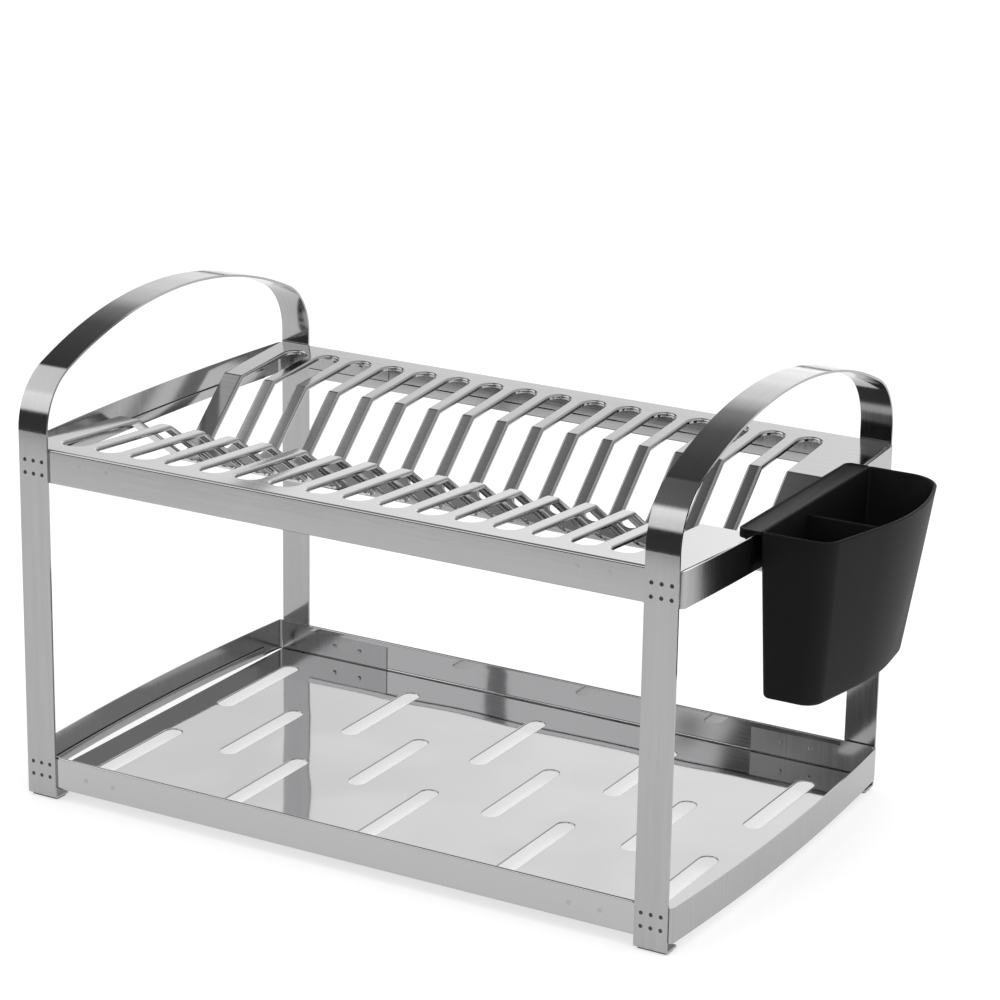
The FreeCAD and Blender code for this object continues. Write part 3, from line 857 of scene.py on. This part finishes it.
def scaled(profile):
    """A (radius, height) profile from millimetres to metres."""
    return [(radius * MM, height * MM) for radius, height in profile]


def make_weld_group(tier, side, end):
    """Six dark dimples in the strap, and two lap welds: a faint mark outside, a bump inside."""
    node = f"{tier}_{end}_{side}_welds"
    out = Vector((0, ENDS[end], 0))
    strap_low, strap_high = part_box(f"{side}_end_frame")
    centre = (strap_low.x + strap_high.x) / 2
    face = strap_high.y
    dimples = bmesh.new()
    for column in (-1, 0, 1):
        for row in WELD_ROWS:
            height = LOWEST_WELD[tier] + row
            spot = Vector((centre + column * WELD_SPACING, ENDS[end] * (face - WELD_DIMPLE), height))
            add_lathe(dimples, spot, out, scaled(DIMPLE))
    piece = new_piece(f"{node}_dimples", dimples, "rack", node, WELD_METAL)
    piece.data.shade_smooth()
    bumps = bmesh.new()
    flange = face - STRAP_GAUGE
    for place in LAP_WELDS:
        spot = Vector((SIDES[side] * place, 0, LAP_WELD_HEIGHT[tier]))
        add_lathe(bumps, spot + out * flange, out, scaled(MARK))
        add_lathe(bumps, spot + out * (flange - 2 * GAUGE), -out, scaled(BUMP))
    piece = new_piece(f"{node}_bumps", bumps, "rack", node, BUMP_METAL)
    piece.data.shade_smooth()


def rounded_outline(corners, steps):
    """Points round a closed outline of (x, y, radius) corners, the same number at each corner."""
    total = len(corners)
    points = []
    for spot, (across, up, radius) in enumerate(corners):
        corner = Vector((across, up))
        back = (Vector(corners[spot - 1][:2]) - corner).normalized()
        ahead = (Vector(corners[(spot + 1) % total][:2]) - corner).normalized()
        half = back.angle(ahead) / 2
        centre = corner + (back + ahead).normalized() * (radius / math.sin(half))
        spoke = corner + back * (radius / math.tan(half)) - centre
        turn = (math.pi - 2 * half) * (1 if (-back).cross(ahead) > 0 else -1)
        count = steps[spot]
        for step in range(count + 1):
            arm = spoke.copy()
            arm.rotate(Matrix.Rotation(turn * step / count, 2))
            points.append(centre + arm)
    return points


def add_rings(data, rings):
    """Skins a stack of closed rings of points, with a flat face at either end."""
    made = [[data.verts.new(point) for point in ring] for ring in rings]
    for below, above in zip(made, made[1:]):
        for spot in range(len(below)):
            after = (spot + 1) % len(below)
            data.faces.new((below[spot], below[after], above[after], above[spot]))
    data.faces.new(list(reversed(made[0])))
    data.faces.new(made[-1])


def make_foot_pad(side, end):
    """A thin pad under a turned-in foot."""
    node = f"{end}_{side}_foot_pad"
    low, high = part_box(node)
    rings = []
    for inset, height in PAD_LEVELS:
        pull = inset * MM
        radius = PAD_CORNER - pull
        outline = rounded_outline([
            (low.x + pull, low.y + pull, radius), (high.x - pull, low.y + pull, radius),
            (high.x - pull, high.y - pull, radius), (low.x + pull, high.y - pull, radius),
        ], [6] * 4)
        rings.append([Vector((point.x, point.y, low.z + height * MM)) for point in outline])
    data = bmesh.new()
    add_rings(data, rings)
    piece = new_piece(f"{end}_{side}_pad", data, "rack", node, PAD_RUBBER)
    soften(piece, PAD_EDGE_ROUND, angle=50)


# --- cutlery bin ----------------------------------------------------------------------------


def bin_ring(share, inset, height):
    """One ring round the bin; share runs from its base, 0, to its rim, 1."""
    corners = []
    for base, rim, (to_x, to_y) in zip(BASE_PLAN, RIM_PLAN, INWARD):
        across, up, radius = (low + (high - low) * share for low, high in zip(base, rim))
        if to_y:
            radius = max(BIN_LEAST_CORNER, radius - inset / MM)
        corners.append((across * MM + to_x * inset, up * MM + to_y * inset, radius * MM))
    outline = rounded_outline(corners, PLAN_STEPS)
    return [Vector((point.x, point.y, height)) for point in outline]


def add_bin_tub(data, base, rim):
    """The tub: its outside from the base up, over the rounded rim and down the inside."""
    depth = rim - base
    rings = []
    for step in range(7):
        turn = math.pi / 2 * step / 6
        pull = BIN_BASE_ROUND * (1 - math.sin(turn))
        height = BIN_BASE_ROUND * (1 - math.cos(turn))
        rings.append(bin_ring(height / depth, pull, base + height))
    half = BIN_GAUGE / 2
    for step in range(1, 11):
        height = BIN_BASE_ROUND + (depth - BIN_BASE_ROUND - half) * step / 10
        rings.append(bin_ring(height / depth, 0.0, base + height))
    for step in range(1, 9):
        turn = math.pi * step / 8
        pull = half * (1 - math.cos(turn))
        height = depth - half + half * math.sin(turn)
        rings.append(bin_ring(1.0, pull, base + height))
    bottom = BIN_GAUGE + BIN_INNER_ROUND
    for step in range(1, 11):
        height = depth - half - (depth - half - bottom) * step / 10
        rings.append(bin_ring(height / depth, BIN_GAUGE, base + height))
    for step in range(1, 6):
        turn = math.pi / 2 * step / 5
        pull = BIN_GAUGE + BIN_INNER_ROUND * (1 - math.cos(turn))
        height = bottom - BIN_INNER_ROUND * math.sin(turn)
        rings.append(bin_ring(height / depth, pull, base + height))
    add_rings(data, rings)


def add_bin_divider(data, base, rim):
    """A thin wall across the tub with a rounded top edge, let into both side walls."""
    top = rim - DIVIDER_DROP
    half = DIVIDER_GAUGE / 2
    profile = [(-half, base + BIN_GAUGE / 2)]
    profile += [
        (-half * math.cos(math.pi * step / 6), top - half + half * math.sin(math.pi * step / 6))
        for step in range(7)
    ]
    profile.append((half, base + BIN_GAUGE / 2))
    rings = []
    for wall in ("near", "far"):
        ring = []
        for across, height in profile:
            share = (height - base) / (rim - base)
            near = (BASE_PLAN[0][0] + (RIM_PLAN[0][0] - BASE_PLAN[0][0]) * share) * MM
            bow = [point for point in bin_ring(share, BIN_GAUGE / 2, height) if point.x > near + 20 * MM]
            far = min(bow, key=lambda point: abs(point.y - DIVIDER_PLACE)).x
            place = near + BIN_GAUGE / 2 if wall == "near" else far
            ring.append(Vector((place, DIVIDER_PLACE + across, height)))
        rings.append(ring)
    add_rings(data, rings)


def add_bin_rail(data, low, high):
    """The rail that lies over the strip: a plate with a rounded nose at each end."""
    wall = RIM_PLAN[0][0] * MM + BIN_GAUGE / 2
    rings = []
    for inset, height in RAIL_LEVELS:
        pull = inset * MM
        outline = rounded_outline([
            (RAIL_EDGE + pull, low.y + pull, RAIL_NOSE - pull),
            (wall, low.y + pull, RAIL_CORNER),
            (wall, high.y - pull, RAIL_CORNER),
            (RAIL_EDGE + pull, high.y - pull, RAIL_NOSE - pull),
        ], (10, 3, 3, 10))
        level = high.z - RAIL_GAUGE + height * MM
        rings.append([Vector((point.x, point.y, level)) for point in outline])
    add_rings(data, rings)


def add_bin_hook(data, low, high):
    """The lip that hangs from the rail's edge behind the strip."""
    path = Path([
        (HOOK_REACH, low.y, 0),
        (RAIL_EDGE, low.y, RAIL_NOSE),
        (RAIL_EDGE, high.y, RAIL_NOSE),
        (HOOK_REACH, high.y, 0),
    ])
    root = high.z - RAIL_GAUGE + RAIL_GAUGE / 2
    rings = []
    for place in path.rows():
        spot, heading = path.at(place)
        inner = Vector((heading.y, -heading.x))
        lip_low = HOOK_LOW if spot.x < DECK_GAP else HOOK_DEEP
        ring = []
        for depth, rise in HOOK_SECTION:
            point = spot + inner * depth * MM
            level = root if rise is None else lip_low + rise * MM
            ring.append(Vector((point.x, point.y, level)))
        rings.append(ring)
    add_rings(data, rings)


def make_cutlery_bin():
    """The bin is one moulding: tub, divider, rail and hook; it rides the body that lifts off."""
    low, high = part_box("cutlery_bin")
    data = bmesh.new()
    add_bin_tub(data, low.z, high.z)
    add_bin_divider(data, low.z, high.z)
    add_bin_rail(data, low, high)
    add_bin_hook(data, low, high)
    bmesh.ops.recalc_face_normals(data, faces=data.faces)
    piece = new_piece("bin_moulding", data, "bin", "cutlery_bin", BIN_PLASTIC)
    piece.data.shade_smooth()
    piece.data.set_sharp_from_angle(angle=math.radians(35))


# --- studio ---------------------------------------------------------------------------------


def make_floor():
    """A pale floor; it ends in front of the rack, where the legs stop reflecting it."""
    data = bmesh.new()
    corners = ((-FLOOR_REACH, FLOOR_FRONT), (FLOOR_REACH, FLOOR_FRONT), (FLOOR_REACH, FLOOR_REACH),
               (-FLOOR_REACH, FLOOR_REACH))
    data.faces.new([data.verts.new((across, depth, 0.0)) for across, depth in corners])
    mesh = bpy.data.meshes.new("floor")
    data.to_mesh(mesh)
    data.free()
    mesh.materials.append(make_floor_paint())
    floor = bpy.data.objects.new("floor", mesh)
    bpy.context.scene.collection.objects.link(floor)


def add_area_light(name, place, aim, size, power):
    """A soft light that the steel doesn't mirror."""
    light = bpy.data.lights.new(name, "AREA")
    light.shape = "RECTANGLE"
    light.size, light.size_y = size
    light.energy = power
    lamp = bpy.data.objects.new(name, light)
    lamp.location = place
    lamp.rotation_euler = (Vector(aim) - Vector(place)).to_track_quat("-Z", "Y").to_euler()
    lamp.visible_glossy = False
    bpy.context.scene.collection.objects.link(lamp)


class Backdrop(Wiring):
    """The node tree of a new world."""

    def __init__(self, name):
        world = bpy.data.worlds.new(name)
        bpy.context.scene.world = world
        world.use_nodes = True
        super().__init__(world.node_tree)
        self.tree.nodes.clear()

    def steps(self, value, levels):
        """Turns a value into grey levels; levels are (value, grey)."""
        low, high = levels[0][0], levels[-1][0]
        ramp = self.add("ShaderNodeValToRGB")
        self.link(self.spread(value, (low, high), (0.0, 1.0)), ramp.inputs[0])
        elements = ramp.color_ramp.elements
        while len(elements) < len(levels):
            elements.new(0.5)
        for element, (spot, grey) in zip(elements, levels):
            element.position = (spot - low) / (high - low)
            element.color = (grey, grey, grey, 1.0)
        return ramp.outputs[0]

    def product(self, first, second):
        """Two values multiplied."""
        node = self.add("ShaderNodeMath", operation="MULTIPLY")
        self.link(first, node.inputs[0])
        self.link(second, node.inputs[1])
        return node.outputs[0]

    def glow(self, colour, strength):
        """A background of a colour and a strength taken from other nodes."""
        node = self.add("ShaderNodeBackground")
        self.link(colour, node.inputs["Color"])
        self.link(strength, node.inputs["Strength"])
        return node.outputs[0]

    def with_panel(self, surroundings, colour, angle, edges, strength):
        """The surroundings with a panel that glows between two soft edges of the arc."""
        rise, fall = edges
        begin = self.spread(angle, rise, (0.0, strength))
        finish = self.spread(angle, fall, (1.0, 0.0))
        both = self.add("ShaderNodeAddShader")
        self.link(surroundings, both.inputs[0])
        self.link(self.glow(colour, self.product(begin, finish)), both.inputs[1])
        return both.outputs[0]


def make_mirrored_studio(studio):
    """What the steel mirrors: bright and dark bands over the rack, and a pale wall behind it."""
    place = studio.add("ShaderNodeTexCoord")
    parts = studio.add("ShaderNodeSeparateXYZ")
    studio.link(place.outputs["Generated"], parts.inputs[0])
    sideways, depth, height = parts.outputs
    climb = studio.add("ShaderNodeMath", operation="ARCTAN2")
    studio.link(height, climb.inputs[0])
    studio.link(studio.spread(depth, (-1.0, 1.0), (1.0, -1.0)), climb.inputs[1])
    angle = studio.spread(climb.outputs[0], (0.0, math.pi), (0.0, 180.0))

    front = studio.add("ShaderNodeMix")
    front.inputs["A"].default_value = 1.0
    studio.link(studio.spread(angle, FLAG_TOP, (1.0, 0.0)), front.inputs["Factor"])
    studio.link(studio.steps(sideways, LOW_FLAG), front.inputs["B"])

    clouds = studio.noise(place.outputs["Generated"], 15.0)
    wall = studio.product(studio.spread(clouds, *WALL_CLOUDS), studio.spread(sideways, *WALL_LEFT))
    wall = studio.product(wall, studio.spread(sideways, *WALL_RIGHT))

    level = studio.add("ShaderNodeMix")
    studio.link(studio.spread(depth, WALL_START, (0.0, 1.0)), level.inputs["Factor"])
    studio.link(front.outputs["Result"], level.inputs["A"])
    studio.link(wall, level.inputs["B"])

    mirrored = studio.glow(studio.steps(angle, STUDIO_ARC), level.outputs["Result"])
    screen = studio.steps(sideways, LEFT_SCREEN)
    mirrored = studio.with_panel(mirrored, screen, angle, SCREEN_EDGES, SCREEN_GLOW)
    ceiling = studio.spread(sideways, *CEILING)
    return studio.with_panel(mirrored, ceiling, angle, CEILING_EDGES, CEILING_GLOW)


def make_world():
    """Even white light from all sides; only mirror reflections see the bands of the studio."""
    studio = Backdrop("studio")
    mirrored = make_mirrored_studio(studio)
    paths = studio.add("ShaderNodeLightPath")
    white = studio.add("ShaderNodeBackground", Color=(1.0, 1.0, 1.0, 1.0), Strength=1.0)
    mix = studio.add("ShaderNodeMixShader")
    studio.link(paths.outputs["Is Glossy Ray"], mix.inputs[0])
    studio.link(white.outputs[0], mix.inputs[1])
    studio.link(mirrored, mix.inputs[2])
    out = studio.add("ShaderNodeOutputWorld")
    studio.link(mix.outputs[0], out.inputs["Surface"])


def make_camera():
    """The camera stands in front and to the right, a little above the rack."""
    camera = bpy.data.cameras.new("camera")
    camera.lens = LENS
    camera.sensor_width = 36.0
    camera.clip_end = 50.0
    holder = bpy.data.objects.new("camera", camera)
    back = Vector((
        math.sin(CAMERA_AZIMUTH) * math.cos(CAMERA_ELEVATION),
        -math.cos(CAMERA_AZIMUTH) * math.cos(CAMERA_ELEVATION),
        math.sin(CAMERA_ELEVATION),
    ))
    turn = back.to_track_quat("Z", "Y").to_matrix()
    turn = turn @ Matrix.Rotation(CAMERA_ROLL, 3, "Z")
    holder.matrix_world = Matrix.Translation(CAMERA_PLACE) @ turn.to_4x4()
    bpy.context.scene.collection.objects.link(holder)
    bpy.context.scene.camera = holder


def make_studio():
    """Floor, surroundings, lights and camera."""
    make_floor()
    make_world()
    for light in LIGHTS:
        add_area_light(*light)
    make_camera()
    bpy.context.scene.view_settings.view_transform = "Standard"


# --- the scene ------------------------------------------------------------------------------

for side in SIDES:
    make_end_frame(side)
    for tier in TIERS:
        make_side_strip(tier, side)
    for end in ENDS:
        make_foot_pad(side, end)
        for tier in TIERS:
            make_weld_group(tier, side, end)
make_plate_deck()
make_drip_tray()
make_cutlery_bin()
make_studio()
